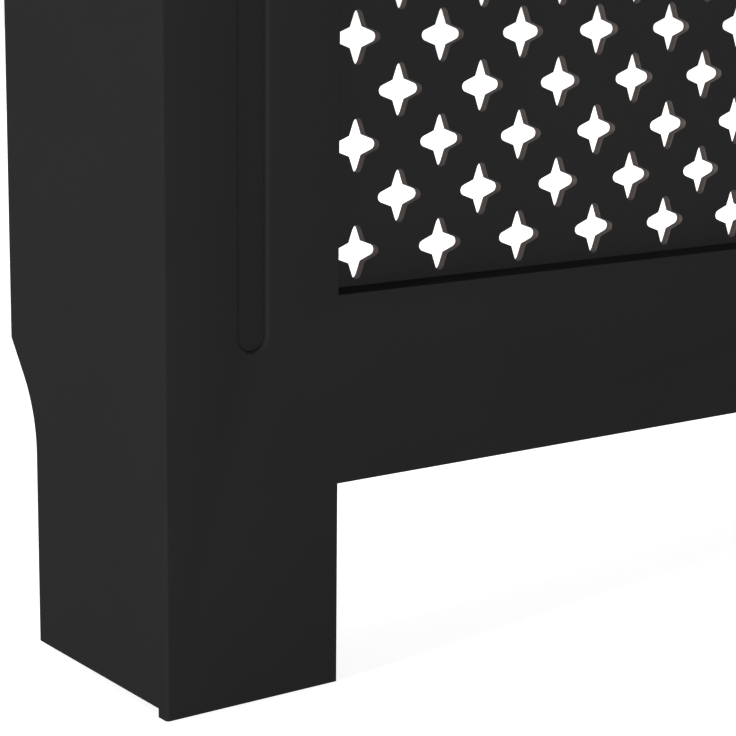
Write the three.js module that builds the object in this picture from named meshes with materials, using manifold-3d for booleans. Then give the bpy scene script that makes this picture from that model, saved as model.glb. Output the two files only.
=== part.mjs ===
// Radiator cover cabinet: a painted fibreboard box that stands over a radiator, open at the back and
// underneath. Its front is a frame of two fluted stiles and two rails round a sheet grille pierced with
// four-pointed stars. Millimetres; X runs along the front, Y towards the wall and Z up, and the origin
// lies on the floor under the middle of the top shelf.
import * as THREE from 'three';
import { mergeVertices } from 'three/addons/utils/BufferGeometryUtils.js';
import Module from 'manifold-3d';

const wasm = await Module();
wasm.setup();

// Carcass
const totalHeight = 815;
const bodyWidth = 770;
const bodyDepth = 175;
const shelfThickness = 18;
const shelfSideOverhang = 15;
const shelfFrontOverhang = 15;
const shelfCornerRadius = 6;
const shelfEdgeRadius = 4;
const frameThickness = 9;
const ribThickness = 12; // the frame is built up behind by this much, all round the window
const ribWidth = 30;
const sideThickness = 12;
const sideFootGap = 5; // the side panels stop this far above the floor, the stiles reach it

// Front frame
const stileWidth = 114;
const stileArris = 1.5;
const bottomRailWidth = 108;
const topRailWidth = 108;
const legClearance = 117; // floor to the bottom rail
const lapLength = 40; // the rails' tongues behind the stiles
const fluteWidth = 20;
const fluteDepth = 3.5;
const fluteOverrun = 26; // the flute runs past the window by this much at each end

// Grille: stars on a square lattice with every other row moved on by half a pitch
const grilleThickness = 3.5;
const grilleLap = 20; // the sheet's margin behind the frame
const starPitch = 60.8;
const starReach = 15.5; // centre to the end of a point
const starTipRadius = 3.15;
const starWaist = 5.8; // the inner corners lie at this distance along X and Z
const starLand = 3; // least solid strip between a star and the frame
const starTipSteps = 3;

// Cut-out in the side panels that clears a skirting board
const skirtingDepth = 29.5;
const skirtingHeight = 186; // from the floor to the cut-out's end in the back edge
const skirtingLean = 36; // degrees from upright
const skirtingRadius = 77;
const skirtingSteps = 8;

// Battens inside the front corners
const battenWidth = 18;
const battenFootGap = 30;
const battenHeadGap = 40;

// Steel angle brackets under the shelf
const plateThickness = 2;
const plateBend = 3;
const cornerPlate = { leg: 25, width: 16 };
const wallPlate = { leg: 34, width: 22 };
const wallScrewHole = 5.5;
const frontPlateOffset = 150; // from the middle, along the top rail
const wallPlateOffset = 250;
const sidePlateSetback = 90; // from the frame, along the side panels

// Screws, by the length under the head
const screwRadius = 1.75;
const screwHeadRadius = 3.4;
const screwHeadHeight = 2.2;
const screwPoint = 3;
const screwSides = 6;
const grilleScrew = 10;
const plateScrew = 9.5;
const battenScrew = 25;
const battenScrewInset = 60; // from the batten's ends to the outer screws
const battenScrewStagger = 30; // between the screws that go forwards and those that go sideways
const grilleScrewsPerRail = 3;
const grilleScrewsPerStile = 2;

// Clearances
const glueLine = 0.05; // between boards that touch
const screwClearance = 0.3; // round a screw and past its point
const overcut = 1; // how far a cutting solid stands clear of what it cuts

// Levels and planes that follow from the sizes
const underShelf = totalHeight - shelfThickness;
const boardTop = underShelf - glueLine;
const shelfDepth = bodyDepth + shelfFrontOverhang;
const shelfWidth = bodyWidth + 2 * shelfSideOverhang;
const wallPlane = shelfDepth / 2;
const frameFront = wallPlane - bodyDepth;
const frameBack = frameFront + frameThickness;
const ribBack = frameBack + ribThickness;
const sideInner = bodyWidth / 2 - sideThickness;
const windowWidth = bodyWidth - 2 * stileWidth;
const windowBottom = legClearance + bottomRailWidth;
const windowTop = underShelf - topRailWidth;
const windowHeight = windowTop - windowBottom;
const windowMiddle = (windowTop + windowBottom) / 2;

const satinPaint = { color: 0x292929, roughness: 0.55, metalness: 0 };
const sheetPaint = { color: 0x272727, roughness: 0.5, metalness: 0 };
const pine = { color: 0xc6a878, roughness: 0.75, metalness: 0 };
const zinc = { color: 0xb9bcc0, roughness: 0.35, metalness: 0.9 };
const screwSteel = { color: 0xa9a294, roughness: 0.3, metalness: 0.95 };

// A closed three.js geometry as a solid for cutting.
function solidFrom(geometry) {
  const bare = geometry.index ? geometry.toNonIndexed() : geometry.clone();
  bare.deleteAttribute('normal');
  bare.deleteAttribute('uv');
  const merged = mergeVertices(bare, 1e-5);
  return new wasm.Manifold(new wasm.Mesh({
    numProp: 3,
    vertProperties: new Float32Array(merged.attributes.position.array),
    triVerts: new Uint32Array(merged.index.array),
  }));
}

function geometryFrom(solid) {
  const mesh = solid.getMesh();
  const geometry = new THREE.BufferGeometry();
  geometry.setAttribute('position', new THREE.BufferAttribute(mesh.vertProperties, 3));
  geometry.setIndex(new THREE.BufferAttribute(mesh.triVerts, 1));
  geometry.computeVertexNormals();
  return geometry;
}

function cut(geometry, tools) {
  let solid = solidFrom(geometry);
  for (const tool of tools) solid = solid.subtract(solidFrom(tool));
  return geometryFrom(solid);
}

// A board and the rib glued along it, as one solid.
function withRib(board, xs, zs) {
  const rib = block(xs, [frameBack - overcut, ribBack], zs);
  return geometryFrom(solidFrom(board).add(solidFrom(rib)));
}

// The mirror image of a piece, for the other side of the cabinet.
function mirrored(geometry) {
  return geometryFrom(solidFrom(geometry).mirror([1, 0, 0]));
}

function mesh(name, geometry, finish) {
  const piece = new THREE.Mesh(geometry, new THREE.MeshStandardMaterial(finish));
  piece.name = name;
  return piece;
}

// A box by its limits along X, Y and Z.
function block([x0, x1], [y0, y1], [z0, z1]) {
  const box = new THREE.BoxGeometry(x1 - x0, y1 - y0, z1 - z0);
  return box.translate((x0 + x1) / 2, (y0 + y1) / 2, (z0 + z1) / 2);
}

// Stands up an outline that was extruded along Z: its X becomes Y, its Y becomes Z and its depth X.
const outlineToSide = new THREE.Matrix4().makeBasis(
  new THREE.Vector3(0, 1, 0), new THREE.Vector3(0, 0, 1), new THREE.Vector3(1, 0, 0),
);

// An outline drawn in X and Z and given a thickness along Y, from its back plane to the front.
function uprightSheet(outline, thickness, back) {
  const sheet = new THREE.ExtrudeGeometry(outline, { depth: thickness, bevelEnabled: false });
  return sheet.rotateX(Math.PI / 2).translate(0, back, 0);
}

function rectangle(x0, x1, y0, y1) {
  const outline = new THREE.Shape();
  outline.moveTo(x0, y0);
  outline.lineTo(x1, y0);
  outline.lineTo(x1, y1);
  outline.lineTo(x0, y1);
  outline.closePath();
  return outline;
}

const sides = [{ name: 'left', sign: -1 }, { name: 'right', sign: 1 }];

// The turns that point a screw, whose own point looks along -Y, where it is driven.
const headings = {
  forwards: new THREE.Euler(0, 0, 0),
  up: new THREE.Euler(-Math.PI / 2, 0, 0),
  left: new THREE.Euler(0, 0, -Math.PI / 2),
  right: new THREE.Euler(0, 0, Math.PI / 2),
};

function screwGeometry(length) {
  const profile = [
    [0, -length],
    [screwRadius, screwPoint - length],
    [screwRadius, 0],
    [screwHeadRadius, 0],
    [screwHeadRadius, screwHeadHeight / 2],
    [0, screwHeadHeight],
  ];
  return new THREE.LatheGeometry(profile.map(([x, y]) => new THREE.Vector2(x, y)), screwSides);
}

// A screw's hole, from behind its head to just past its point.
function screwHole({ seat, heading, length }) {
  const radius = screwRadius + screwClearance;
  const depth = length + screwClearance + overcut;
  const hole = new THREE.CylinderGeometry(radius, radius, depth, screwSides);
  hole.translate(0, overcut - depth / 2, 0);
  hole.applyQuaternion(new THREE.Quaternion().setFromEuler(headings[heading]));
  return hole.translate(...seat);
}

function screwMesh({ name, seat, heading, length }) {
  const piece = mesh(name, screwGeometry(length), screwSteel);
  piece.rotation.copy(headings[heading]);
  piece.position.set(...seat);
  return piece;
}

// Evenly spread places, symmetric about the middle of a span.
function spread(middle, span, count) {
  const step = span / count;
  return Array.from({ length: count }, (_, i) => middle + (i - (count - 1) / 2) * step);
}

// Screws through the grille's margin into the frame's ribs.
function grilleScrews() {
  const sheetBack = ribBack + glueLine + grilleThickness + glueLine;
  const lapMiddle = grilleLap / 2;
  const places = [];
  for (const [rail, z] of [['bottom', windowBottom - lapMiddle], ['top', windowTop + lapMiddle]]) {
    spread(0, windowWidth, grilleScrewsPerRail).forEach((x, i) => places.push([`${rail}_${i + 1}`, x, z]));
  }
  for (const { name, sign } of sides) {
    const x = sign * (windowWidth / 2 + lapMiddle);
    spread(windowMiddle, windowHeight, grilleScrewsPerStile)
      .forEach((z, i) => places.push([`${name}_${i + 1}`, x, z]));
  }
  return places.map(([place, x, z]) => ({
    name: `grille_screw_${place}`, seat: [x, sheetBack, z], heading: 'forwards', length: grilleScrew,
  }));
}

// Three screws forwards into the stile and three sideways into the side panel, clear of each other.
function battenScrews({ name, sign }) {
  const [low, high] = [battenFootGap + battenScrewInset, boardTop - battenHeadGap - battenScrewInset];
  const levels = [low, (low + high) / 2, high];
  const centre = battenWidth / 2 + glueLine;
  const far = battenWidth + 2 * glueLine;
  return levels.flatMap((z, i) => [
    {
      name: `${name}_stile_screw_${i + 1}`, target: 'stile',
      seat: [sign * (sideInner - centre), frameBack + far, z], heading: 'forwards', length: battenScrew,
    },
    {
      name: `${name}_side_screw_${i + 1}`, target: 'side',
      seat: [sign * (sideInner - far), frameBack + centre, z + battenScrewStagger],
      heading: name, length: battenScrew,
    },
  ]);
}

// An angle bracket by the place of its outer corner. Turned by 0 its flange hangs behind the front
// frame and its foot runs back under the shelf.
const plates = [
  ...sides.map(({ name, sign }) => ({
    name: `${name}_rail_bracket`, size: cornerPlate, turn: 0, flangeHeading: 'forwards',
    corner: [sign * frontPlateOffset, frameBack + glueLine],
  })),
  ...sides.map(({ name, sign }) => ({
    name: `${name}_side_bracket`, size: cornerPlate, turn: sign * Math.PI / 2, flangeHeading: name,
    corner: [sign * (sideInner - glueLine), frameBack + sidePlateSetback],
  })),
  ...sides.map(({ name, sign }) => ({
    name: `${name}_wall_bracket`, size: wallPlate, turn: Math.PI,
    corner: [sign * wallPlateOffset, wallPlane],
  })),
];

// The L of a bracket, its outer corner at the origin, rounded at the bend.
function plateProfile(leg) {
  const outline = new THREE.Shape();
  outline.moveTo(0, -leg);
  outline.lineTo(plateThickness, -leg);
  outline.lineTo(plateThickness, -plateThickness);
  outline.lineTo(leg, -plateThickness);
  outline.lineTo(leg, 0);
  outline.lineTo(plateBend, 0);
  outline.absarc(plateBend, -plateBend, plateBend, Math.PI / 2, Math.PI, false);
  outline.closePath();
  return outline;
}

// A point in a bracket's own frame, as a point of the cabinet.
function onPlate({ corner, turn }, x, y, z) {
  const local = new THREE.Vector3(x, y, z).applyAxisAngle(new THREE.Vector3(0, 0, 1), turn);
  return [corner[0] + local.x, corner[1] + local.y, underShelf - glueLine + local.z];
}

// The foot's screws go up into the shelf, and the flange's into the board that it hangs on.
function plateScrews(plate) {
  const { name, size, flangeHeading } = plate;
  const under = plateThickness + glueLine;
  const middle = (size.leg + plateThickness) / 2;
  const screws = [{
    name: `${name}_top_screw`, seat: onPlate(plate, 0, middle, -under), heading: 'up', length: plateScrew,
  }];
  if (flangeHeading) {
    screws.push({
      name: `${name}_flange_screw`, seat: onPlate(plate, 0, under, -middle), heading: flangeHeading,
      length: plateScrew,
    });
  }
  return screws;
}

function plateMesh(plate) {
  const { name, size, corner, turn, flangeHeading } = plate;
  const geometry = new THREE.ExtrudeGeometry(plateProfile(size.leg), {
    depth: size.width, bevelEnabled: false, curveSegments: 3,
  });
  geometry.applyMatrix4(outlineToSide).translate(-size.width / 2, 0, 0);
  const middle = (size.leg + plateThickness) / 2;
  const holeRadius = screwRadius + screwClearance;
  const foot = new THREE.CylinderGeometry(holeRadius, holeRadius, size.leg, screwSides);
  foot.applyQuaternion(new THREE.Quaternion().setFromEuler(headings.up)).translate(0, middle, 0);
  const flangeRadius = flangeHeading ? holeRadius : wallScrewHole / 2;
  const flangeSides = flangeHeading ? screwSides : 2 * screwSides;
  const flange = new THREE.CylinderGeometry(flangeRadius, flangeRadius, size.leg, flangeSides);
  flange.translate(0, 0, -middle);
  const piece = mesh(name, cut(geometry, [foot, flange]), zinc);
  piece.rotation.z = turn;
  piece.position.set(corner[0], corner[1], underShelf - glueLine);
  return piece;
}

// The shelf's front and ends are rounded above and below, and its back edge is sawn square.
function topShelf(screws) {
  const r = shelfCornerRadius;
  const e = shelfEdgeRadius;
  const [x, front, back] = [shelfWidth / 2 - e, -wallPlane + e, wallPlane + overcut];
  const outline = new THREE.Shape();
  outline.moveTo(x, back);
  outline.lineTo(-x, back);
  outline.lineTo(-x, front + r);
  outline.absarc(r - x, front + r, r, Math.PI, 1.5 * Math.PI, false);
  outline.lineTo(x - r, front);
  outline.absarc(x - r, front + r, r, 1.5 * Math.PI, 2 * Math.PI, false);
  outline.closePath();
  const board = new THREE.ExtrudeGeometry(outline, {
    depth: shelfThickness - 2 * e, bevelSize: e, bevelThickness: e, bevelSegments: 3, curveSegments: 4,
  });
  board.translate(0, 0, underShelf + e);
  const reach = shelfWidth;
  const behind = block(
    [-reach, reach], [wallPlane, wallPlane + shelfDepth], [underShelf - overcut, totalHeight + overcut],
  );
  return mesh('top_shelf', cut(board, [behind, ...screws.map(screwHole)]), satinPaint);
}

// A routed slot with round ends, up the middle of a stile.
function fluteTool(x) {
  const r = fluteWidth / 2;
  const [low, high] = [windowBottom - fluteOverrun + r, windowTop + fluteOverrun - r];
  const slot = new THREE.Shape();
  slot.absarc(x, low, r, Math.PI, 2 * Math.PI, false);
  slot.absarc(x, high, r, 0, Math.PI, false);
  slot.closePath();
  const tool = new THREE.ExtrudeGeometry(slot, {
    depth: fluteDepth + overcut, bevelEnabled: false, curveSegments: 8,
  });
  return tool.rotateX(Math.PI / 2).translate(0, frameFront + fluteDepth, 0);
}

// The recess in a stile's back that takes a rail's tongue.
function lapTool(low, high) {
  const inner = bodyWidth / 2 - stileWidth;
  return block(
    [inner - overcut, inner + lapLength + glueLine],
    [frameFront + frameThickness / 2, frameBack + overcut],
    [low, high],
  );
}

// The right stile, which is also a leg of the cabinet. Its outer front edge is eased, and its rib
// stands between those of the rails.
function stile(screws) {
  const outer = bodyWidth / 2;
  const inner = outer - stileWidth;
  const section = new THREE.Shape();
  section.moveTo(inner, frameBack);
  section.lineTo(inner, frameFront);
  section.lineTo(outer - stileArris, frameFront);
  section.absarc(outer - stileArris, frameFront + stileArris, stileArris, -Math.PI / 2, 0, false);
  section.lineTo(outer, frameBack);
  section.closePath();
  const board = new THREE.ExtrudeGeometry(section, {
    depth: boardTop, bevelEnabled: false, curveSegments: 3,
  });
  const laps = [
    lapTool(legClearance - glueLine, windowBottom + glueLine),
    lapTool(windowTop - glueLine, underShelf + overcut),
  ];
  const ribbed = withRib(board, [inner, inner + ribWidth], [windowBottom + glueLine, windowTop - glueLine]);
  return cut(ribbed, [fluteTool(inner + stileWidth / 2), ...laps, ...screws.map(screwHole)]);
}

// A rail fills the width between the stiles, with a tongue of half its thickness behind each. Its rib
// runs along the window and over both tongues.
function rail(name, low, high, ribLow, screws) {
  const half = windowWidth / 2 - glueLine;
  const halfway = frameFront + frameThickness / 2 + glueLine;
  const reach = windowWidth / 2 + lapLength;
  const section = new THREE.Shape();
  section.moveTo(-half, frameFront);
  section.lineTo(half, frameFront);
  section.lineTo(half, halfway);
  section.lineTo(reach, halfway);
  section.lineTo(reach, frameBack);
  section.lineTo(-reach, frameBack);
  section.lineTo(-reach, halfway);
  section.lineTo(-half, halfway);
  section.closePath();
  const board = new THREE.ExtrudeGeometry(section, { depth: high - low, bevelEnabled: false });
  board.translate(0, 0, low);
  const ribReach = windowWidth / 2 + ribWidth;
  const ribbed = withRib(board, [-ribReach, ribReach], [ribLow, ribLow + ribWidth]);
  return mesh(name, cut(ribbed, screws.map(screwHole)), satinPaint);
}

// A star: four tapered points with round tips that meet in sharp inner corners.
function starOutline(cx, cz) {
  const centre = starReach - starTipRadius;
  const toCorner = new THREE.Vector2(starWaist - centre, starWaist);
  // the flank from the inner corner touches the tip's circle at this angle
  const touch = toCorner.angle() - Math.acos(starTipRadius / toCorner.length());
  const outline = new THREE.Path();
  for (let point = 0; point < 4; point += 1) {
    const turn = point * Math.PI / 2;
    const place = (x, y) => new THREE.Vector2(x, y).rotateAround(new THREE.Vector2(), turn);
    for (let step = 0; step <= starTipSteps; step += 1) {
      const angle = touch * (2 * step / starTipSteps - 1);
      const tip = place(centre + starTipRadius * Math.cos(angle), starTipRadius * Math.sin(angle));
      if (point === 0 && step === 0) outline.moveTo(cx + tip.x, cz + tip.y);
      else outline.lineTo(cx + tip.x, cz + tip.y);
    }
    const corner = place(starWaist, starWaist);
    outline.lineTo(cx + corner.x, cz + corner.y);
  }
  outline.closePath();
  return outline;
}

// The stars' centres: every other place of a lattice of half pitches, with a star in each corner.
function starCentres() {
  const half = starPitch / 2;
  const room = (span) => Math.floor((span / 2 - starReach - starLand) / half);
  const [columns, rows] = [room(windowWidth), room(windowHeight)];
  const centres = [];
  for (let i = -columns; i <= columns; i += 1) {
    for (let j = -rows; j <= rows; j += 1) {
      if ((i + j + columns + rows) % 2 === 0) centres.push([i * half, windowMiddle + j * half]);
    }
  }
  return centres;
}

function grillePanel(screws) {
  const x = windowWidth / 2 + grilleLap;
  const sheet = rectangle(-x, x, windowBottom - grilleLap, windowTop + grilleLap);
  sheet.holes = starCentres().map(([cx, cz]) => starOutline(cx, cz));
  for (const { seat } of screws) {
    const hole = new THREE.Path();
    for (let side = 0; side <= screwSides; side += 1) {
      const angle = side * 2 * Math.PI / screwSides;
      const r = screwRadius + screwClearance;
      const point = [seat[0] + r * Math.sin(angle), seat[2] + r * Math.cos(angle)];
      if (side === 0) hole.moveTo(...point);
      else hole.lineTo(...point);
    }
    sheet.holes.push(hole);
  }
  const back = ribBack + glueLine + grilleThickness;
  return mesh('grille_panel', uprightSheet(sheet, grilleThickness, back), sheetPaint);
}

// The side panel's outline, from the frame to the wall. The cut-out for the skirting board rises
// straight, bends back through an arc and runs out in the panel's back edge.
function sideOutline() {
  const lean = THREE.MathUtils.degToRad(skirtingLean);
  const front = frameBack + glueLine;
  const notch = wallPlane - skirtingDepth;
  const meeting = skirtingHeight - skirtingDepth / Math.tan(lean);
  const arcStart = meeting - skirtingRadius * Math.tan(lean / 2);
  const outline = new THREE.Shape();
  outline.moveTo(front, sideFootGap);
  outline.lineTo(notch, sideFootGap);
  for (let step = 0; step <= skirtingSteps; step += 1) {
    const angle = lean * step / skirtingSteps;
    outline.lineTo(
      notch + skirtingRadius * (1 - Math.cos(angle)), arcStart + skirtingRadius * Math.sin(angle),
    );
  }
  outline.lineTo(wallPlane, skirtingHeight);
  outline.lineTo(wallPlane, boardTop);
  outline.lineTo(front, boardTop);
  outline.closePath();
  return outline;
}

// The right side panel.
function sidePanel(screws) {
  const board = new THREE.ExtrudeGeometry(sideOutline(), { depth: sideThickness, bevelEnabled: false });
  board.applyMatrix4(outlineToSide).translate(sideInner, 0, 0);
  return cut(board, screws.map(screwHole));
}

// The right corner batten.
function batten(screws) {
  const near = sideInner - glueLine;
  const stick = block(
    [near - battenWidth, near],
    [frameBack + glueLine, frameBack + glueLine + battenWidth],
    [battenFootGap, boardTop - battenHeadGap],
  );
  return cut(stick, screws.map(screwHole));
}

const cabinet = new THREE.Group();
const carcass = new THREE.Group();
const hardware = new THREE.Group();
cabinet.add(carcass, hardware);

const ofGrille = grilleScrews();
const ofPlates = plates.flatMap(plateScrews);
const goingUp = ofPlates.filter(({ heading }) => heading === 'up');
const intoRail = (start) => [...ofGrille, ...ofPlates].filter(({ name }) => name.startsWith(start));

carcass.add(topShelf(goingUp));
const bottomRibLow = windowBottom - ribWidth;
carcass.add(rail('bottom_rail', legClearance, windowBottom, bottomRibLow, intoRail('grille_screw_bottom')));
carcass.add(rail('top_rail', windowTop, boardTop, windowTop, [
  ...intoRail('grille_screw_top'),
  ...ofPlates.filter(({ heading }) => heading === 'forwards'),
]));
carcass.add(grillePanel(ofGrille));

const right = sides.find(({ sign }) => sign > 0);
const intoBatten = battenScrews(right);
const into = (board) => intoBatten.filter(({ target }) => target === board);
const flangeScrews = ofPlates.filter(({ heading }) => heading === right.name);
const rightPieces = [
  ['stile', stile([...into('stile'), ...intoRail(`grille_screw_${right.name}`)]), satinPaint],
  ['side_panel', sidePanel([...into('side'), ...flangeScrews]), satinPaint],
  ['corner_batten', batten(intoBatten), pine],
];
for (const { name, sign } of sides) {
  for (const [piece, geometry, finish] of rightPieces) {
    carcass.add(mesh(`${name}_${piece}`, sign > 0 ? geometry : mirrored(geometry), finish));
  }
}
sides.flatMap(battenScrews).forEach((screw) => hardware.add(screwMesh(screw)));
plates.forEach((plate) => hardware.add(plateMesh(plate)));
[...ofGrille, ...ofPlates].forEach((screw) => hardware.add(screwMesh(screw)));

export default cabinet;
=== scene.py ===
# %% [markdown]
# # A painted radiator cover, piece by piece
#
# The cabinet is a box of thin fibreboard that stands over a radiator. Its front is a frame of two
# fluted stiles and two rails round a sheet pierced with stars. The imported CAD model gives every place
# and size, so each piece here starts from the box of the node that it stands for and adds what a
# plain solid lacks: eased edges, screw heads, and the paint. Lengths are metres, as in the CAD frame.

# %% Load the frame
from math import acos, cos, pi, radians, sin, tan

import bmesh
import bpy
from mathutils import Matrix, Vector


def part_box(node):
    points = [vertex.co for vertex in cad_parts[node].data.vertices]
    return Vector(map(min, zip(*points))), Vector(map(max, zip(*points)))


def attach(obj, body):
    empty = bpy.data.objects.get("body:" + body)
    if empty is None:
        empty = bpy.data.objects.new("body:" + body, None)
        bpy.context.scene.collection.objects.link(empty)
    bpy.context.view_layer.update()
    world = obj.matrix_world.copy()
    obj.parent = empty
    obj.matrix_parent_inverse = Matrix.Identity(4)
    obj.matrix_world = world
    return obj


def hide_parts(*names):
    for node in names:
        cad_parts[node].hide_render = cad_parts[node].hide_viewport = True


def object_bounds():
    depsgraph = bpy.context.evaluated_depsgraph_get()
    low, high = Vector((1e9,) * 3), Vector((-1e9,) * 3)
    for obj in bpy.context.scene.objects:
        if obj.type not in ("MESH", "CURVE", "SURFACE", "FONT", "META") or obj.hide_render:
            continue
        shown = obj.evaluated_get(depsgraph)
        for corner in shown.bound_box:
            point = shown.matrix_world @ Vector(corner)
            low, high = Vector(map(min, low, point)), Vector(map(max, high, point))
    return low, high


MM = 0.001
X, Y, Z = range(3)  # the place of each axis in a vector
UP = Vector((0, 0, 1))

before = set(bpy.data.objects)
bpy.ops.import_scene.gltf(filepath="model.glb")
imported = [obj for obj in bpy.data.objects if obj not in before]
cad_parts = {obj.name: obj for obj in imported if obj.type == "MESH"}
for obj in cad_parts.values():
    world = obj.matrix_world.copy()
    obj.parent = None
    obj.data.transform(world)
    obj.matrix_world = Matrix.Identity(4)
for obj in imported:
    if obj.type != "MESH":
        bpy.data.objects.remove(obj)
cad_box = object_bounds()
overall = [round((high - low) / MM) for low, high in zip(*cad_box)]
print("CAD nodes:", len(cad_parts), "- overall size in mm:", overall)

# %% [markdown]
# ## The camera
#
# The picture was taken from the left, at half the cabinet's height, and shows its lower left part.
# Place, direction and lens come from fitting a camera to the star lattice and to the edges of the
# boards. A picture that is off centre needs a shifted lens, which moves the view without tilting the
# camera. Every other view keeps that shift, so it is only as large as the framing needs. A camera
# tilted down by ten degrees does the rest, and leaves the uprights leaning by about one degree.

# %% Camera
CAMERA_PLACE = Vector((-0.9488, -1.0064, 0.4201))
CAMERA_YAW = 0.5959  # turned this far to the right of straight ahead, in radians
CAMERA_PITCH = -0.1751
CAMERA_LENS = 102.41
CAMERA_SHIFT = (0.14, -0.08)


def aim(thing, place, direction):
    """Stands a camera or a lamp at a place and points it in a direction."""
    turn = direction.to_track_quat("-Z", "Y").to_matrix().to_4x4()
    thing.matrix_world = Matrix.Translation(place) @ turn


camera = bpy.data.objects.new("camera", bpy.data.cameras.new("camera"))
bpy.context.scene.collection.objects.link(camera)
bpy.context.scene.camera = camera
forward = cos(CAMERA_PITCH)
ahead = Vector((sin(CAMERA_YAW) * forward, cos(CAMERA_YAW) * forward, sin(CAMERA_PITCH)))
aim(camera, CAMERA_PLACE, ahead)
camera.data.lens = CAMERA_LENS
camera.data.shift_x, camera.data.shift_y = CAMERA_SHIFT
print("camera at", [round(c, 3) for c in CAMERA_PLACE], "with a lens of", CAMERA_LENS, "mm")

# %% [markdown]
# ## Colours and nodes
#
# A colour is easiest to read off as the sRGB hex value that a paint chart gives, while Blender's
# sockets take linear light, so one function turns one into the other. A second function adds a shader
# node, sets its options and fills its inputs, either with a value or with another node's output.
# With these two a material reads as a short list.

# %% Colour and node helpers
MIX_BY, MIX_FROM, MIX_TO, MIXED = 0, 6, 7, 2  # the sockets that a Mix node has for colours


def linear(code):
    """The linear RGBA of an sRGB hex colour such as "#2a2a2a", by the sRGB standard's curve."""
    levels = [int(code[i:i + 2], 16) / 255 for i in (1, 3, 5)]
    return [c / 12.92 if c <= 0.04045 else ((c + 0.055) / 1.055) ** 2.4 for c in levels] + [1.0]


def add(tree, kind, inputs, **options):
    """Adds a node of that kind; each input takes a value or another node's output."""
    made = tree.nodes.new(kind)
    for option, value in options.items():
        setattr(made, option, value)
    for socket, value in inputs.items():
        if isinstance(value, bpy.types.NodeSocket):
            tree.links.new(value, made.inputs[socket])
        else:
            made.inputs[socket].default_value = value
    return made


def blank(name):
    """An empty material, its node tree, and the position on the object in metres."""
    material = bpy.data.materials.new(name)
    material.use_nodes = True
    tree = material.node_tree
    tree.nodes.clear()
    place = add(tree, "ShaderNodeTexCoord", {}).outputs["Object"]
    return material, tree, place


def per_metre(size_mm):
    """The Scale of a pattern whose grains are this size."""
    return 1 / (size_mm * MM)


print("a board at 50% grey in sRGB is", round(linear("#808080")[0], 3), "in linear light")

# %% [markdown]
# ## Sprayed black paint
#
# The boards are medium-density fibreboard, sprayed with a water-based lacquer that dries dead matt.
# What the eye gets from it is a near-black of even depth with hardly any highlight, and only close up
# the faint orange peel that a spray gun leaves, about 1.5 mm from crest to crest. A single flat
# colour would look like plastic, so a slow noise also varies the depth of colour a little, as coats
# of uneven thickness do, and a finer one varies the roughness. The specular level is far below the
# usual one, because the matting agent scatters what would be reflected. With the usual one, the white
# floor would lie as a grey veil on every board that is seen at a flat angle.

# %% Material: sprayed lacquer
COAT_MM = 70  # from a thick place of the coat to a thin one
MIST_MM = 6  # from a duller place to a less dull one, where the spray has drifted
MIST_SPREAD = 0.05  # how far the roughness goes up and down between them


def sprayed_lacquer(name, thin, thick, roughness, specular, peel_mm, peel_depth_mm):
    """Matt sprayed lacquer between two close tones, thin coat and thick, with orange peel."""
    material, tree, place = blank(name)
    coat = add(tree, "ShaderNodeTexNoise",
               {"Vector": place, "Scale": per_metre(COAT_MM), "Detail": 3.0})
    tone = add(tree, "ShaderNodeMix",
               {MIX_BY: coat.outputs["Fac"], MIX_FROM: linear(thin), MIX_TO: linear(thick)},
               data_type="RGBA")
    mist = add(tree, "ShaderNodeTexNoise",
               {"Vector": place, "Scale": per_metre(MIST_MM), "Detail": 4.0})
    gloss = add(tree, "ShaderNodeMapRange",
                {"Value": mist.outputs["Fac"],
                 "To Min": roughness - MIST_SPREAD, "To Max": roughness + MIST_SPREAD})
    peel = add(tree, "ShaderNodeTexNoise",
               {"Vector": place, "Scale": per_metre(peel_mm), "Detail": 2.0})
    bump = add(tree, "ShaderNodeBump",
               {"Height": peel.outputs["Fac"], "Strength": 1.0, "Distance": peel_depth_mm * MM})
    shader = add(tree, "ShaderNodeBsdfPrincipled", {
        "Base Color": tone.outputs[MIXED], "Roughness": gloss.outputs[0],
        "Normal": bump.outputs[0], "Specular IOR Level": specular, "IOR": 1.5,
    })
    add(tree, "ShaderNodeOutputMaterial", {"Surface": shader.outputs[0]})
    return material


board_lacquer = sprayed_lacquer("sprayed_matt_lacquer_on_fibreboard", "#232323", "#212121",
                                roughness=0.9, specular=0.004, peel_mm=1.5, peel_depth_mm=0.012)
# The sheet's paint is the boards' black made a touch lighter. This is painted light, which makes up for
# the shade that the sheet gets at the back of the deep window recess.
lightened_sheet_lacquer = sprayed_lacquer("sprayed_matt_lacquer_on_hardboard_lightened_against_shade", "#262626", "#242424",
                                roughness=0.9, specular=0.004, peel_mm=1.0, peel_depth_mm=0.008)
print("made", board_lacquer.name, "and", lightened_sheet_lacquer.name)

# %% [markdown]
# ## The raw edge of hardboard
#
# The stars are cut through the finished sheet, so the walls of the holes show the hardboard itself
# under a dusting of overspray. It is a dark, warm grey-brown with hardly any gloss. The fibres lie in
# the plane of the sheet, so the edge is striped along it: the noise is squeezed across the sheet and
# left long along it. Real layers are a few tenths of a millimetre thick. They are drawn at 0.7 mm,
# because finer ones would not show.

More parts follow.
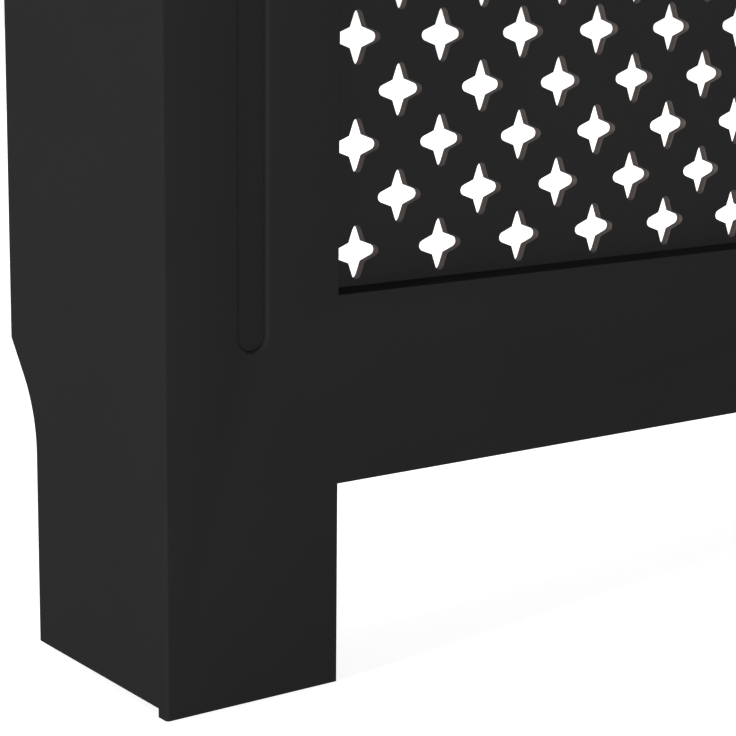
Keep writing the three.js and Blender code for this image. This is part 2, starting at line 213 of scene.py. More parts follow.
# %% Material: raw hardboard edge
def hardboard_edge(name, dark, light, roughness, specular, layer_mm, fibre_mm, relief_mm):
    """The cut edge of a hardboard sheet that lies in the X-Z plane."""
    material, tree, place = blank(name)
    squeeze = add(tree, "ShaderNodeMapping", {
        "Vector": place,
        "Scale": (per_metre(fibre_mm), per_metre(layer_mm), per_metre(fibre_mm)),
    })
    layers = add(tree, "ShaderNodeTexNoise",
                 {"Vector": squeeze.outputs[0], "Scale": 1.0, "Detail": 3.0})
    tone = add(tree, "ShaderNodeMix",
               {MIX_BY: layers.outputs["Fac"], MIX_FROM: linear(dark), MIX_TO: linear(light)},
               data_type="RGBA")
    bump = add(tree, "ShaderNodeBump",
               {"Height": layers.outputs["Fac"], "Strength": 1.0, "Distance": relief_mm * MM})
    shader = add(tree, "ShaderNodeBsdfPrincipled", {
        "Base Color": tone.outputs[MIXED], "Roughness": roughness,
        "Normal": bump.outputs[0], "Specular IOR Level": specular, "IOR": 1.5,
    })
    add(tree, "ShaderNodeOutputMaterial", {"Surface": shader.outputs[0]})
    return material


cut_edge = hardboard_edge("raw_hardboard_edge", "#4d4643", "#5d5552", roughness=0.9, specular=0.2,
                          layer_mm=0.7, fibre_mm=4, relief_mm=0.05)
print("made", cut_edge.name)

# %% [markdown]
# ## Planed pine
#
# The battens in the corners are never seen from the front, and nobody paints them. Planed pine is
# pale yellow with darker bands of late wood that run the length of the stick. Broad wave bands, bent
# hard by a long noise, give the rings where the saw has cut them, and a very stretched noise gives
# the fibres. The rings are drawn broader than the real ones, which lie two to four millimetres apart
# and would not show from where the battens are seen.

# %% Material: planed pine
RING_STRETCH = 0.06  # patterns change this much more slowly along the stick than across it
FIBRE_STRETCH = 0.02


def planed_pine(name, early, late, roughness, specular, band_mm, fibre_mm, relief_mm):
    """Pine that grew along Z."""
    material, tree, place = blank(name)
    along = add(tree, "ShaderNodeMapping", {"Vector": place, "Scale": (1.0, 1.0, RING_STRETCH)})
    rings = add(tree, "ShaderNodeTexWave", {
        "Vector": along.outputs[0], "Scale": per_metre(band_mm), "Distortion": 6.0,
        "Detail": 2.0, "Detail Scale": 1.5, "Detail Roughness": 0.5,
    }, wave_type="BANDS", bands_direction="DIAGONAL", wave_profile="SAW")
    stretch = add(tree, "ShaderNodeMapping", {"Vector": place, "Scale": (1.0, 1.0, FIBRE_STRETCH)})
    fibres = add(tree, "ShaderNodeTexNoise",
                 {"Vector": stretch.outputs[0], "Scale": per_metre(fibre_mm), "Detail": 4.0})
    grain = add(tree, "ShaderNodeMix",
                {MIX_BY: rings.outputs["Fac"], MIX_FROM: linear(early), MIX_TO: linear(late)},
                data_type="RGBA")
    tone = add(tree, "ShaderNodeMix",
               {MIX_BY: fibres.outputs["Fac"], MIX_FROM: grain.outputs[MIXED],
                MIX_TO: linear(early)},
               data_type="RGBA")
    bump = add(tree, "ShaderNodeBump",
               {"Height": fibres.outputs["Fac"], "Strength": 0.6, "Distance": relief_mm * MM})
    shader = add(tree, "ShaderNodeBsdfPrincipled", {
        "Base Color": tone.outputs[MIXED], "Roughness": roughness,
        "Normal": bump.outputs[0], "Specular IOR Level": specular, "IOR": 1.5,
    })
    add(tree, "ShaderNodeOutputMaterial", {"Surface": shader.outputs[0]})
    return material


pine = planed_pine("planed_pine", "#d8b988", "#b98b56", roughness=0.65, specular=0.4,
                   band_mm=60, fibre_mm=0.5, relief_mm=0.1)
print("made", pine.name)

# %% [markdown]
# ## Zinc on steel
#
# Brackets are pressed from strip and plated with bright zinc: a cool grey metal with a cloudy sheen
# from the plating bath. The screws get a yellow-tinted passivation over the same zinc. Both are
# metals, so the colour sits in the reflection and the default IOR stays. The cloud is a noise on the
# roughness, and the strip's rolling marks are a fine one on the bump.

# %% Material: zinc plating
SHEEN_SPREAD = 0.12  # how far the roughness goes up and down in the clouds
ROLLING_MM = 0.6
ROLLING_DEPTH = 0.02 * MM


def zinc_plating(name, colour, roughness, cloud_mm):
    """Plated steel with a cloudy sheen."""
    material, tree, place = blank(name)
    cloud = add(tree, "ShaderNodeTexNoise",
                {"Vector": place, "Scale": per_metre(cloud_mm), "Detail": 3.0})
    sheen = add(tree, "ShaderNodeMapRange",
                {"Value": cloud.outputs["Fac"],
                 "To Min": roughness - SHEEN_SPREAD, "To Max": roughness + SHEEN_SPREAD})
    marks = add(tree, "ShaderNodeTexNoise",
                {"Vector": place, "Scale": per_metre(ROLLING_MM), "Detail": 2.0})
    bump = add(tree, "ShaderNodeBump",
               {"Height": marks.outputs["Fac"], "Strength": 0.5, "Distance": ROLLING_DEPTH})
    shader = add(tree, "ShaderNodeBsdfPrincipled", {
        "Base Color": linear(colour), "Metallic": 1.0, "Roughness": sheen.outputs[0],
        "Normal": bump.outputs[0],
    })
    add(tree, "ShaderNodeOutputMaterial", {"Surface": shader.outputs[0]})
    return material


bracket_zinc = zinc_plating("bright_zinc_plated_steel", "#9a9da1", roughness=0.4, cloud_mm=5)
screw_zinc = zinc_plating("yellow_passivated_steel", "#b3a884", roughness=0.3, cloud_mm=2)
print("made", bracket_zinc.name, "and", screw_zinc.name)

# %% [markdown]
# ## Making a piece
#
# Every board begins as a cube fitted to a box and ends the same way: its mesh becomes an object, the
# object is told which CAD body it rides on, the CAD nodes that it takes the place of are hidden, and a
# Bevel modifier eases its edges by a few tenths of a millimetre, as sanding before the paint does.
# Real edges catch the light in a thin line, and without it the boards look like paper. Hardened
# normals keep the broad faces flat up to the bevel.

# %% Piece helpers
EASE_SEGMENTS = 3
SIDES = {"left": -1, "right": 1}  # and the way along X that each one faces


def block(low, high):
    """A bmesh box between two corners."""
    bm = bmesh.new()
    bmesh.ops.create_cube(bm, size=1.0)
    bmesh.ops.scale(bm, vec=high - low, verts=bm.verts)
    bmesh.ops.translate(bm, vec=(low + high) / 2, verts=bm.verts)
    return bm


def to_object(bm, name):
    """Turns a finished bmesh into an object, with its faces pointing outwards."""
    bmesh.ops.recalc_face_normals(bm, faces=bm.faces)
    mesh = bpy.data.meshes.new(name)
    bm.to_mesh(mesh)
    bm.free()
    made = bpy.data.objects.new(name, mesh)
    bpy.context.scene.collection.objects.link(made)
    return made


def dress(piece, nodes, materials, ease_mm, ease_angle=40):
    """Gives a piece its materials and eased edges, and hides the CAD nodes that it takes the place of.
    """
    for material in materials:
        piece.data.materials.append(material)
    for face in piece.data.polygons:
        face.use_smooth = True
    easing = piece.modifiers.new("eased edges", "BEVEL")
    easing.width, easing.segments, easing.profile = ease_mm * MM, EASE_SEGMENTS, 0.5
    easing.limit_method, easing.angle_limit = "ANGLE", radians(ease_angle)
    easing.harden_normals = True
    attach(piece, "root")
    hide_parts(*nodes)


print("a piece's edges are eased with a bevel of", EASE_SEGMENTS, "segments")

# %% [markdown]
# ## The top shelf
#
# The shelf is a board 18 mm thick that overhangs the front and both ends. Its front corners are
# rounded in plan, and a router has then taken the sharpness off its front and ends, above and below.
# So the two upright corner edges are bevelled first, with the larger radius, and then the rings of
# edges round the top and the underside. The back edge goes against the wall and is left square.

# %% Top shelf
SHELF_CORNER = 6 * MM
SHELF_EDGE = 4 * MM
SAME_PLACE = 1e-6  # metres; points closer than this are taken as one


def at(edge, axis, level):
    """True where both ends of an edge lie at one level along an axis."""
    return all(abs(v.co[axis] - level) < SAME_PLACE for v in edge.verts)


def round_off(bm, parts, radius, segments, affect="EDGES"):
    """Bevels edges, or the corners of a flat face, until they are round."""
    bmesh.ops.bevel(bm, geom=parts, offset=radius, segments=segments, profile=0.5,
                    affect=affect, material=-1)


low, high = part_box("top_shelf")
bm = block(low, high)
upright = [e for e in bm.edges if at(e, Y, low.y) and not at(e, Z, low.z) and not at(e, Z, high.z)]
round_off(bm, upright, SHELF_CORNER, segments=6)
rings = [e for e in bm.edges if (at(e, Z, low.z) or at(e, Z, high.z)) and not at(e, Y, high.y)]
round_off(bm, rings, SHELF_EDGE, segments=4)
shelf = to_object(bm, "shelf_board")
dress(shelf, ["top_shelf"], [board_lacquer], ease_mm=0.5)
print("shelf:", len(shelf.data.polygons), "faces")

# %% [markdown]
# ## The front frame
#
# The front is four boards of 9 mm fibreboard: two stiles that reach the floor as legs, and two rails
# whose tongues lie behind them. They are glued flush, filled and sprayed over, so no joint shows, and
# one mesh that stands for all four nodes is truer to what is seen than four boards with seams. A rib
# behind, all round the window, stiffens the thin boards and sets the sheet 21 mm back, which gives the
# window its deep, dark sill. So the frame is one board joined to one rib block, with the window cut
# through both and the gap between the legs cut out below. The outer upright edges are rounded more
# than the rest, because hands meet them there.

# %% Frame board and rib
FRAME_ARRIS = 2.2 * MM
RIB_WIDTH = 30 * MM
GLUE_LINE = 0.05 * MM  # the CAD model leaves this between boards that touch
CUT_CLEAR = 1 * MM  # tools stick out of what they cut, or into what they join, by this much
FRAME_NODES = ["left_stile", "right_stile", "bottom_rail", "top_rail"]


def carve(board, tools, operation="DIFFERENCE"):
    """Takes the tools out of a board, or joins them to it, and bakes the result into its mesh."""
    for tool in tools:
        cutting = board.modifiers.new("cut", "BOOLEAN")
        cutting.object, cutting.operation, cutting.solver = tool, operation, "EXACT"
    seen = board.evaluated_get(bpy.context.evaluated_depsgraph_get())
    carved = bpy.data.meshes.new_from_object(seen)
    board.modifiers.clear()
    board.data = carved
    for tool in tools:
        bpy.data.objects.remove(tool)


rail_low, rail_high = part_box("bottom_rail")
window_bottom, window_top = rail_high.z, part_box("top_rail")[0].z
inner_left, inner_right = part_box("left_stile")[1].x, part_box("right_stile")[0].x
low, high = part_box("left_stile")[0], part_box("right_stile")[1]
frame_back, rib_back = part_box("left_side_panel")[0].y - GLUE_LINE, high.y
bm = block(low, Vector((high.x, frame_back, high.z)))
corners = [e for e in bm.edges if at(e, Y, low.y) and (at(e, X, low.x) or at(e, X, high.x))]
round_off(bm, corners, FRAME_ARRIS, segments=5)
front_frame = to_object(bm, "front_frame")
rib = block(Vector((inner_left - RIB_WIDTH, frame_back - CUT_CLEAR, window_bottom - RIB_WIDTH)),
            Vector((inner_right + RIB_WIDTH, rib_back, window_top + RIB_WIDTH)))
carve(front_frame, [to_object(rib, "rib_block")], operation="UNION")
print("frame board:", round((frame_back - low.y) / MM), "mm thick, with its rib",
      round((rib_back - low.y) / MM), "mm")

# %% [markdown]
# The window and the gap between the legs are as wide as each other, because both reach from one stile
# to the other. So one kind of cutter serves for both: a block that goes right through, from one
# height to another.

# %% Window and gap between the legs
def opening_cutter(bottom, top):
    """A solid as wide as the space between the stiles, through the whole board."""
    return to_object(block(Vector((inner_left, low.y - CUT_CLEAR, bottom)),
                           Vector((inner_right, rib_back + CUT_CLEAR, top))), "opening_cutter")


carve(front_frame, [opening_cutter(window_bottom, window_top),
                    opening_cutter(low.z - CUT_CLEAR, rail_low.z)])
print("window:", round((inner_right - inner_left) / MM), "by",
      round((window_top - window_bottom) / MM), "mm")

# %% [markdown]
# A router with a flat cutter has run a shallow flute up the middle of each stile, which ends in half
# circles beyond the window. A flat square is stretched to the slot's size, rounding its corners makes
# the half circles, and an extrusion gives it depth; the frame is then carved with it. Sanding has
# rounded the flute's rim about as much as the outer edges: on the black paint this rim is what shows,
# as a bright line on the side away from the light and a dark one on the other.

# %% Flute cutter
FLUTE_WIDTH = 17.5 * MM
FLUTE_DEPTH = 3.5 * MM
FLUTE_OVERRUN = 26 * MM  # a flute reaches this far beyond the window, above and below
FLUTE_RIM = 2.5 * MM
ROUND_GAP = 1e-5  # metres; keeps the two corners of an end from meeting in one point


def only_vertices(parts):
    """The vertices among the parts that an operator hands back."""
    return [part for part in parts if isinstance(part, bmesh.types.BMVert)]


def extrude(bm, by):
    """Extrudes every face by a vector, which turns a flat outline into a solid."""
    grown = bmesh.ops.extrude_face_region(bm, geom=list(bm.faces))["geom"]
    bmesh.ops.translate(bm, vec=by, verts=only_vertices(grown))


def slot_cutter(x, front, low_z, high_z):
    """A solid with round ends that stands in front of a board and reaches into it."""
    bm = bmesh.new()
    bmesh.ops.create_grid(bm, x_segments=1, y_segments=1, size=0.5)
    bmesh.ops.scale(bm, vec=(FLUTE_WIDTH, high_z - low_z, 1), verts=bm.verts)
    round_off(bm, list(bm.verts), FLUTE_WIDTH / 2 - ROUND_GAP, segments=12, affect="VERTICES")
    bmesh.ops.rotate(bm, matrix=Matrix.Rotation(pi / 2, 3, "X"), verts=bm.verts)
    bmesh.ops.translate(bm, vec=(x, front - CUT_CLEAR, (low_z + high_z) / 2), verts=bm.verts)
    extrude(bm, (0, FLUTE_DEPTH + CUT_CLEAR, 0))
    return to_object(bm, "slot_cutter")


print("a flute is", FLUTE_WIDTH / MM, "mm wide and", FLUTE_DEPTH / MM, "mm deep")

# %% Flutes
SHARP = 1.0  # radians; the front turns into a flute's wall by more than this

flute_middles = [(low.x + inner_left) / 2, (inner_right + high.x) / 2]
carve(front_frame, [slot_cutter(x, low.y, window_bottom - FLUTE_OVERRUN, window_top + FLUTE_OVERRUN)
                    for x in flute_middles])
bm = bmesh.new()
bm.from_mesh(front_frame.data)
rim = [e for e in bm.edges if at(e, Y, low.y) and e.calc_face_angle(0) > SHARP
       and min(abs(v.co.x - x) for v in e.verts for x in flute_middles) < FLUTE_WIDTH / 2 + ROUND_GAP]
round_off(bm, rim, FLUTE_RIM, segments=5)
bm.to_mesh(front_frame.data)
bm.free()
dress(front_frame, FRAME_NODES, [board_lacquer], ease_mm=0.35)
print("flutes:", len(rim), "rim edges rounded; frame has", len(front_frame.data.polygons), "faces")

# %% [markdown]
# ## The side panels
#
# A side panel is a plain board except at its back foot, where it is cut away to clear the skirting
# board: the cut rises straight, bends back through a wide arc, and runs out in the back edge. One
# vertex spun about the arc's centre draws the arc, edges through five more points close the outline,
# and the face is then extruded to the board's thickness. The panel stands behind the frame, and the
# seam between them shows as a fine line, because the panel's outer front edge is broken before the
# two are glued. A bevel of 1 mm makes it.

# %% Side panels
SKIRTING_DEPTH = 29.5 * MM
SKIRTING_HEIGHT = 186 * MM
SKIRTING_LEAN = radians(36)
SKIRTING_RADIUS = 77 * MM
SEAM_ARRIS = 1 * MM

for side, sign in SIDES.items():
    low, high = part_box(f"{side}_side_panel")
    notch = high.y - SKIRTING_DEPTH
    lean_rise = SKIRTING_DEPTH / tan(SKIRTING_LEAN)
    bend = SKIRTING_HEIGHT - lean_rise - SKIRTING_RADIUS * tan(SKIRTING_LEAN / 2)
    bm = bmesh.new()
    arc = [bm.verts.new((low.x, notch, bend))]
    swept = bmesh.ops.spin(bm, geom=arc, cent=(low.x, notch + SKIRTING_RADIUS, bend), axis=(1, 0, 0),
                           angle=-SKIRTING_LEAN, steps=16)["geom_last"]
    outline = [(high.y, SKIRTING_HEIGHT), (high.y, high.z), (low.y, high.z), (low.y, low.z),
               (notch, low.z)]
    points = only_vertices(swept) + [bm.verts.new((low.x, y, z)) for y, z in outline] + arc
    for pair in zip(points, points[1:]):
        bm.edges.new(pair)
    bmesh.ops.contextual_create(bm, geom=bm.edges[:])
    extrude(bm, (high.x - low.x, 0, 0))
    outer = low.x if sign < 0 else high.x
    seam = [e for e in bm.edges if at(e, Y, low.y) and at(e, X, outer)]
    round_off(bm, seam, SEAM_ARRIS, segments=3)
    board = to_object(bm, f"{side}_side_board")
    dress(board, [f"{side}_side_panel"], [board_lacquer], ease_mm=0.35)
    print(side, "side board:", len(board.data.polygons), "faces")

# %% [markdown]
# ## The star grille
#
# The sheet repeats one star on a square lattice in which every other row moves on by half a pitch.
# Around each star lies a square tile that stands on its corner, and such tiles cover the sheet
# without a gap. So one pierced tile is made and copied to every star, plain tiles fill the margin,
# the seams are merged, the whole is trimmed to the sheet's size, and only then does it get its
# thickness. A star has four tapered points with round tips that meet in sharp inner corners, so one
# point of it is drawn, its tip as a vertex spun about the tip's centre, and spun on to four places.

# %% One star
PITCH = 60.8 * MM
STAR_REACH = 15.5 * MM  # from the middle to a tip
STAR_TIP_RADIUS = 3.15 * MM
STAR_WAIST = 5.8 * MM  # an inner corner lies this far from the middle along both axes


def star_ring(bm):
    """Adds a star's outline round the origin: one point of it, spun to four places."""
    tip_centre = STAR_REACH - STAR_TIP_RADIUS
    flank = Vector((STAR_WAIST - tip_centre, STAR_WAIST))
    touch = flank.angle_signed(Vector((1, 0))) - acos(STAR_TIP_RADIUS / flank.length)
    start = Vector((tip_centre + STAR_TIP_RADIUS * cos(touch), -STAR_TIP_RADIUS * sin(touch), 0))
    finish = start * Vector((1, -1, 1))
    corners = [bm.verts.new((STAR_WAIST, sign * STAR_WAIST, 0)) for sign in (-1, 1)]
    arc = [bm.verts.new(start)]
    bmesh.ops.spin(bm, geom=arc, cent=(tip_centre, 0, 0), axis=UP, angle=2 * touch, steps=6)
    swept = [v for v in bm.verts if v not in corners]
    end = min(swept, key=lambda v: (v.co - finish).length)
    bm.edges.new((corners[0], arc[0]))
    bm.edges.new((end, corners[1]))
    bmesh.ops.spin(bm, geom=bm.verts[:] + bm.edges[:], cent=(0, 0, 0), axis=UP, angle=1.5 * pi,
                   steps=3, use_duplicate=True)  # three more quarter turns
    bmesh.ops.remove_doubles(bm, verts=bm.verts, dist=SAME_PLACE)


bm = bmesh.new()
star_ring(bm)
print("one star:", len(bm.verts), "points,", len(bm.edges), "edges, reach in mm:",
      round(max(v.co.x for v in bm.verts) / MM, 2))

# %% [markdown]
# Filling between the star and the tile's own square edge gives the pierced tile. It is made once,
# and its mesh is copied to every place in turn, because making 128 stars anew would be slow.

# %% Tiles
bmesh.ops.create_circle(bm, segments=4, radius=PITCH / 2)
bmesh.ops.triangle_fill(bm, use_beauty=True, normal=UP, edges=list(bm.edges))
pierced = bpy.data.meshes.new("pierced_tile")
bm.to_mesh(pierced)
bm.clear()
bmesh.ops.create_circle(bm, cap_ends=True, segments=4, radius=PITCH / 2)
plain = bpy.data.meshes.new("plain_tile")
bm.to_mesh(plain)
bm.free()
print("pierced tile:", len(pierced.polygons), "faces; plain tile:", len(plain.polygons), "face")

# %% [markdown]
# The tiles are laid out flat, merged, and trimmed on all four sides to the size of the sheet's node.
# The sheet is then stood up at the front of that node and extruded backwards. The walls of the real
# holes look 5 mm deep, so the sheet is as thick here; its CAD solid has 3.5 mm, and the rest goes to
# the back, where it doesn't show. Faces that look sideways are walls and take the raw edge, while the
# front and the back take the paint.

# %% The whole sheet
SHEET_THICKNESS = 5 * MM
STAR_COLUMNS = 8  # half pitches from the middle of the sheet to the last column of stars
STAR_ROWS = 7
MARGIN_COLUMNS = 2  # half pitches of plain tiles beyond the stars, more than the sheet needs
MARGIN_ROWS = 3

low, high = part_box("grille_panel")
middle = Vector(((low.x + high.x) / 2, (low.z + high.z) / 2))
last_column, last_row = STAR_COLUMNS + MARGIN_COLUMNS, STAR_ROWS + MARGIN_ROWS
bm = bmesh.new()
stars = 0
for column in range(-last_column, last_column + 1):
    for row in range(-last_row, last_row + 1):
        if (column + row + STAR_COLUMNS + STAR_ROWS) % 2:
            continue
        has_star = abs(column) <= STAR_COLUMNS and abs(row) <= STAR_ROWS
        tile = (pierced if has_star else plain).copy()
        tile.transform(Matrix.Translation((column * PITCH / 2 + middle.x,
                                           row * PITCH / 2 + middle.y, 0)))
        bm.from_mesh(tile)
        bpy.data.meshes.remove(tile)
        stars += has_star
bmesh.ops.remove_doubles(bm, verts=bm.verts, dist=SAME_PLACE)
for corner, outward in ((low, (-1, 0, 0)), (low, (0, -1, 0)), (high, (1, 0, 0)), (high, (0, 1, 0))):
    bmesh.ops.bisect_plane(bm, geom=bm.verts[:] + bm.edges[:] + bm.faces[:],
                           plane_co=(corner.x, corner.z, 0), plane_no=outward, clear_outer=True)
bmesh.ops.rotate(bm, matrix=Matrix.Rotation(pi / 2, 3, "X"), verts=bm.verts)
bmesh.ops.translate(bm, vec=(0, low.y, 0), verts=bm.verts)
extrude(bm, (0, SHEET_THICKNESS, 0))
bmesh.ops.recalc_face_normals(bm, faces=bm.faces)
for face in bm.faces:
    face.material_index = int(abs(face.normal.y) < 0.5)
grille = to_object(bm, "star_grille")
dress(grille, ["grille_panel"], [lightened_sheet_lacquer, cut_edge], ease_mm=0.15,
      ease_angle=70)
print("grille:", stars, "stars,", len(grille.data.polygons), "faces before easing")

# %% [markdown]
# ## The corner battens
#
# A square pine stick stands in each front corner, screwed to the stile and to the side panel, and
# holds the two together. A planed stick has edges eased by about a millimetre, which the Bevel
# modifier gives it.

# %% Corner battens
for side in SIDES:
    stick = to_object(block(*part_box(f"{side}_corner_batten")), f"{side}_batten_stick")
    dress(stick, [f"{side}_corner_batten"], [pine], ease_mm=1.0)
print("battens:", [round(x / MM) for x in stick.dimensions], "mm")

# %% [markdown]
# ## The brackets
#
# A bracket is a strip of 2 mm steel bent to a right angle, with rounded corners at both ends and a
# hole in each leg. Three points draw the bend seen from the side; the line is extruded to the strip's
# width, the four end corners are rounded, the fold is bevelled so that it gets its radius, and the
# sheet is given its thickness inwards. The holes are cut with cylinders.

# %% Bracket strip and drill
PLATE = 2 * MM
PLATE_BEND = 3 * MM
PLATE_CORNER = 3 * MM
SCREW_HOLE = 4.1 * MM
WALL_HOLE = 5.5 * MM
DRILL_LENGTH = 4 * PLATE  # goes through the plate with room to spare


def drill(place, along, diameter):
    """A cylinder centred on a place, to cut a hole."""
    bm = bmesh.new()
    bmesh.ops.create_cone(bm, cap_ends=True, segments=32, radius1=diameter / 2,
                          radius2=diameter / 2, depth=DRILL_LENGTH)
    turn = UP.rotation_difference(along).to_matrix()
    bmesh.ops.rotate(bm, matrix=turn, verts=bm.verts)
    bmesh.ops.translate(bm, vec=place, verts=bm.verts)
    return to_object(bm, "hole_cutter")


def bent_strip(corner, foot, leg, width):
    """The strip's outer surface: down one leg from the corner, and out along the foot."""
    across = UP.cross(foot)
    start = corner - across * width / 2
    bm = bmesh.new()
    line = [bm.verts.new(p) for p in (start - UP * leg, start, start + foot * leg)]
    path = [bm.edges.new(line[:2]), bm.edges.new(line[1:])]
    swept = bmesh.ops.extrude_edge_only(bm, edges=path)["geom"]
    bmesh.ops.translate(bm, vec=across * width, verts=only_vertices(swept))
    ends = [v for v in bm.verts if len(v.link_faces) == 1]
    round_off(bm, ends, PLATE_CORNER, segments=5, affect="VERTICES")
    fold = [e for e in bm.edges if len(e.link_faces) == 2]
    round_off(bm, fold, PLATE_BEND, segments=6)
    return bm


print("a bracket is", PLATE / MM, "mm thick, with holes of", round(SCREW_HOLE / MM, 1), "and",
      WALL_HOLE / MM, "mm")

# %% [markdown]
# The strip's faces have to look outwards before it gets its thickness, so that the plate grows
# inwards and its outer faces touch the shelf and the board that it holds. Solidify goes against the
# normals, and the normal of the largest face tells which way they look.

# %% Brackets
def bracket(node, foot, flange_hole):
    """An angle bracket whose foot runs under the shelf in the direction given."""
    low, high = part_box(node)
    leg, width = high.z - low.z, abs((high - low).dot(UP.cross(foot)))
    corner = (low + high) / 2
    for axis in (X, Y):
        if foot[axis]:
            corner[axis] = (high if foot[axis] < 0 else low)[axis]
    corner.z = high.z
    bm = bent_strip(corner, foot, leg, width)
    bmesh.ops.recalc_face_normals(bm, faces=bm.faces)
    inside = foot - UP
    if max(bm.faces, key=lambda f: f.calc_area()).normal.dot(inside) > 0:
        bmesh.ops.reverse_faces(bm, faces=bm.faces)
    bmesh.ops.solidify(bm, geom=list(bm.faces), thickness=PLATE)
    plate = to_object(bm, f"{node}_plate")
    reach = (leg + PLATE) / 2  # from the corner to the middle of a leg's flat part
    carve(plate, [drill(corner + foot * reach, UP, SCREW_HOLE),
                  drill(corner - UP * reach, foot, flange_hole)])
    dress(plate, [node], [bracket_zinc], ease_mm=0.2, ease_angle=60)
    return plate


for side, sign in SIDES.items():
    made = [
        bracket(f"{side}_rail_bracket", Vector((0, 1, 0)), SCREW_HOLE),
        bracket(f"{side}_side_bracket", Vector((-sign, 0, 0)), SCREW_HOLE),
        bracket(f"{side}_wall_bracket", Vector((0, -1, 0)), WALL_HOLE),
    ]
    for plate in made:
        print(plate.name, "size in mm:", [round(x / MM, 1) for x in plate.dimensions])

# %% [markdown]
# ## The screws
#
# All screws have the same pan head with a cross recess, on shanks of three lengths. A head is turned
# on a lathe, so half of its outline is spun round the axis. The cross is pressed in: two small bars
# are cut out of the head. Each screw is a copy of one of these patterns, turned to the way its node
# points. The node's box tells the rest, since its longest side is the screw's axis.

# %% Screw pattern
HEAD_RADIUS = 3.4 * MM
HEAD_HEIGHT = 2.2 * MM
HEAD_OUTLINE = [(1, 0), (1, 0.45), (0.9, 0.75), (0.65, 0.95), (0, 1)]  # parts of radius and height
SHANK_RADIUS = 1.75 * MM
SCREW_POINT = 3 * MM
RECESS_REACH = 1.9 * MM
RECESS_WIDTH = 0.8 * MM
RECESS_DEPTH = 1.2 * MM


def screw_pattern(length):
    """A pan-head screw with its seat at the origin and its point down."""
    bm = bmesh.new()
    outline = [(0, -length), (SHANK_RADIUS, SCREW_POINT - length), (SHANK_RADIUS, 0)]
    outline += [(HEAD_RADIUS * across, HEAD_HEIGHT * up) for across, up in HEAD_OUTLINE]
    points = [bm.verts.new((r, 0, z)) for r, z in outline]
    line = [bm.edges.new(pair) for pair in zip(points, points[1:])]
    bmesh.ops.spin(bm, geom=points + line, axis=UP, cent=(0, 0, 0), angle=2 * pi, steps=24,
                   use_merge=True)
    bmesh.ops.remove_doubles(bm, verts=bm.verts, dist=SAME_PLACE)
    screw = to_object(bm, "screw_pattern")
    bars = []
    for wide, deep in ((RECESS_REACH, RECESS_WIDTH / 2), (RECESS_WIDTH / 2, RECESS_REACH)):
        bar = block(Vector((-wide, -deep, HEAD_HEIGHT - RECESS_DEPTH)),
                    Vector((wide, deep, HEAD_HEIGHT + CUT_CLEAR)))
        bars.append(to_object(bar, "recess_cutter"))
    carve(screw, bars)
    return screw


print("a head is", 2 * HEAD_RADIUS / MM, "mm across and", HEAD_HEIGHT / MM, "mm high")

# %% [markdown]
# A screw points outwards into a side panel, to the front into the frame, or up into the shelf, so the
# axis of its node's box also tells which way it is turned.

# %% Screws
patterns = {}


def place_screw(node):
    """Puts a copy of the right pattern where a screw's node is."""
    low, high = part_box(node)
    extent, centre = high - low, (low + high) / 2
    axis = max(range(3), key=lambda k: extent[k])
    outwards = 1 if centre.x > 0 else -1
    heading = Vector((0, 0, 0))
    heading[axis] = (outwards, -1, 1)[axis]  # the point goes outwards, to the front, or up
    length = round((extent[axis] - HEAD_HEIGHT) / MM, 1) * MM
    if length not in patterns:
        patterns[length] = screw_pattern(length)
    seat = centre - heading * (extent[axis] / 2 - HEAD_HEIGHT)
    mesh = patterns[length].data.copy()
    turn = (-UP).rotation_difference(heading).to_matrix().to_4x4()
    mesh.transform(Matrix.Translation(seat) @ turn)
    screw = bpy.data.objects.new(f"{node}_pan_head", mesh)
    bpy.context.scene.collection.objects.link(screw)
    dress(screw, [node], [screw_zinc], ease_mm=0.12, ease_angle=50)
    return screw


screws = [place_screw(node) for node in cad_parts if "screw" in node]
for pattern in patterns.values():
    bpy.data.objects.remove(pattern)
print(len(screws), "screws of", sorted(round(length / MM, 1) for length in patterns), "mm")

# %% [markdown]
# ## Floor, backdrop and light
#
# The picture was lit in a white studio from the left and the front, with little light from above, and
# the floor and the background are pure white in it. Lamps strong enough to make them white would turn
# the black paint grey. So the white is only shown: the world is white for the camera and in
# reflections, and the light that it sheds on the cabinet is a quarter of that.

# %% World
WORLD_LIGHT = 0.25


def seen_directly(tree):
    """1 for rays from the camera and for reflected or transmitted ones, otherwise 0."""
    rays = add(tree, "ShaderNodeLightPath", {})
    either = add(tree, "ShaderNodeMath",
                 {0: rays.outputs["Is Camera Ray"], 1: rays.outputs["Is Glossy Ray"]},
                 operation="MAXIMUM")
    every = add(tree, "ShaderNodeMath",
                {0: either.outputs[0], 1: rays.outputs["Is Transmission Ray"]},
                operation="MAXIMUM")
    return every.outputs[0]


world = bpy.data.worlds.new("studio")
bpy.context.scene.world = world
world.use_nodes = True
tree = world.node_tree
tree.nodes.clear()
shed = add(tree, "ShaderNodeBackground", {"Color": linear("#ffffff"), "Strength": WORLD_LIGHT})
seen = add(tree, "ShaderNodeBackground", {"Color": linear("#ffffff"), "Strength": 1.0})
sky = add(tree, "ShaderNodeMixShader",
          {0: seen_directly(tree), 1: shed.outputs[0], 2: seen.outputs[0]})
add(tree, "ShaderNodeOutputWorld", {"Surface": sky.outputs[0]})
print("world sheds light at", WORLD_LIGHT)

# %% [markdown]
# The floor is a pale, diffuse sheet that takes the cabinet's soft shadow, with a white glow on top
# that only the camera and reflections see. Near the cabinet the glow is held back, so that with the
# lamps' light it just makes white and the shadow still shows. Further off the lamps reach less, and
# the glow rises to full white, or else a view from low down would end in a grey strip.

# %% Floor
FLOOR_HALF = 8.0
FLOOR_GLOW = 0.72  # the strength near the cabinet, where 1 is white
GLOW_NEAR, GLOW_FAR = 1.0, 3.5  # it begins to rise at the first distance and is 1 at the second
DUST_MM = 300

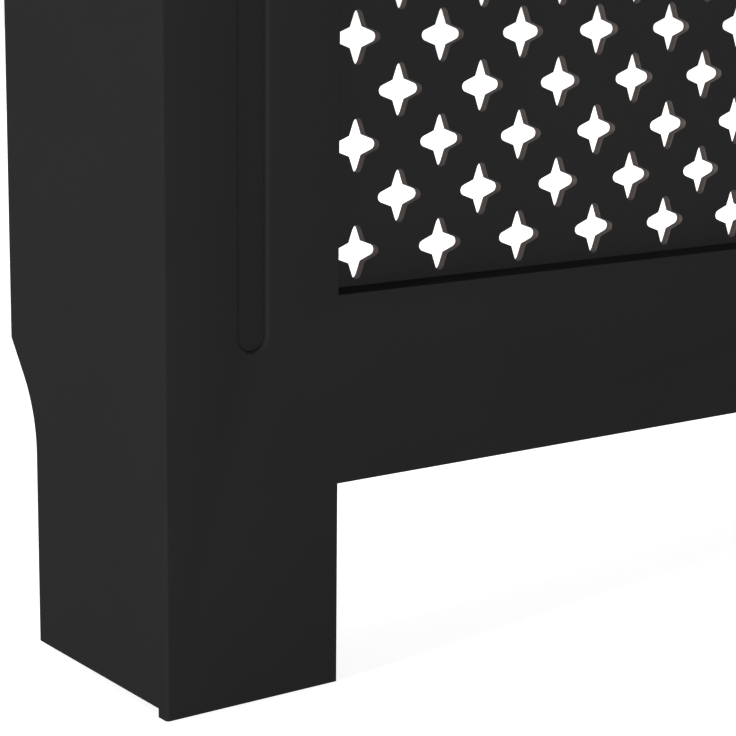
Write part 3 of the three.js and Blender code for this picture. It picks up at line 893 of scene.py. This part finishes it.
material, tree, place = blank("pale_studio_floor")
dust = add(tree, "ShaderNodeTexNoise", {"Vector": place, "Scale": per_metre(DUST_MM), "Detail": 2.0})
tone = add(tree, "ShaderNodeMix",
           {MIX_BY: dust.outputs["Fac"], MIX_FROM: linear("#e6e6e6"), MIX_TO: linear("#eaeaea")},
           data_type="RGBA")
matt = add(tree, "ShaderNodeBsdfDiffuse", {"Color": tone.outputs[MIXED]})
away = add(tree, "ShaderNodeVectorMath", {0: place}, operation="LENGTH")
strength = add(tree, "ShaderNodeMapRange",
               {"Value": away.outputs["Value"], "From Min": GLOW_NEAR, "From Max": GLOW_FAR,
                "To Min": FLOOR_GLOW, "To Max": 1.0})
glow = add(tree, "ShaderNodeEmission",
           {"Color": linear("#ffffff"), "Strength": strength.outputs[0]})
both = add(tree, "ShaderNodeAddShader", {0: matt.outputs[0], 1: glow.outputs[0]})
shown = add(tree, "ShaderNodeMixShader",
            {0: seen_directly(tree), 1: matt.outputs[0], 2: both.outputs[0]})
add(tree, "ShaderNodeOutputMaterial", {"Surface": shown.outputs[0]})
bm = bmesh.new()
bmesh.ops.create_grid(bm, x_segments=1, y_segments=1, size=FLOOR_HALF)
floor = to_object(bm, "floor")
floor.data.materials.append(material)
print("floor:", 2 * FLOOR_HALF, "m across")

# %% [markdown]
# Five lamps light the cabinet, tall and narrow like softboxes on stands. The two main ones stand low,
# on the left and at the front left. The front one is kept narrow and well to the front, or the step
# from the stile down to the sheet would throw a dark line beside it. The fill on the right stays
# behind the plane of the front and lights only the right side. The one behind stands low, so that no
# light from it falls on the sill, and a weak one hangs above. Each one's power follows from how
# bright it should make a white card that faces it: P watts from d metres make it P / (pi * d)².

# %% Lamps
LAMP_WIDTH, LAMP_HEIGHT = 0.6, 1.2
LAMPS = {
    # name: place, and how bright it makes the white card, where 1 is white
    "side": ((-4.5, -0.5, 0.7), 0.63),
    "front": ((-3.6, -5.6, 0.7), 0.72),
    "fill": ((4.5, 0.45, 0.9), 0.55),
    "back": ((-1.5, 6.2, 0.5), 0.4),
    "top": ((0.0, 0.4, 5.0), 0.25),
}
target = (cad_box[0] + cad_box[1]) / 2
for name, (place, light) in LAMPS.items():
    lamp = bpy.data.objects.new(f"{name}_lamp", bpy.data.lights.new(f"{name}_lamp", "AREA"))
    bpy.context.scene.collection.objects.link(lamp)
    lamp.data.shape, lamp.data.size, lamp.data.size_y = "RECTANGLE", LAMP_WIDTH, LAMP_HEIGHT
    towards = target - Vector(place)
    lamp.data.energy = light * pi * pi * towards.length_squared
    aim(lamp, place, towards)
    print(name, "lamp:", round(lamp.data.energy), "W at", round(towards.length, 1), "m")

# %% [markdown]
# ## Finish
#
# The picture is shown as plain sRGB, with no film look on top. The last line prints the CAD model's
# box.

# %% Finish
bpy.context.scene.view_settings.view_transform = "Standard"
print("CAD box:", [[round(x, 4) for x in c] for c in cad_box])
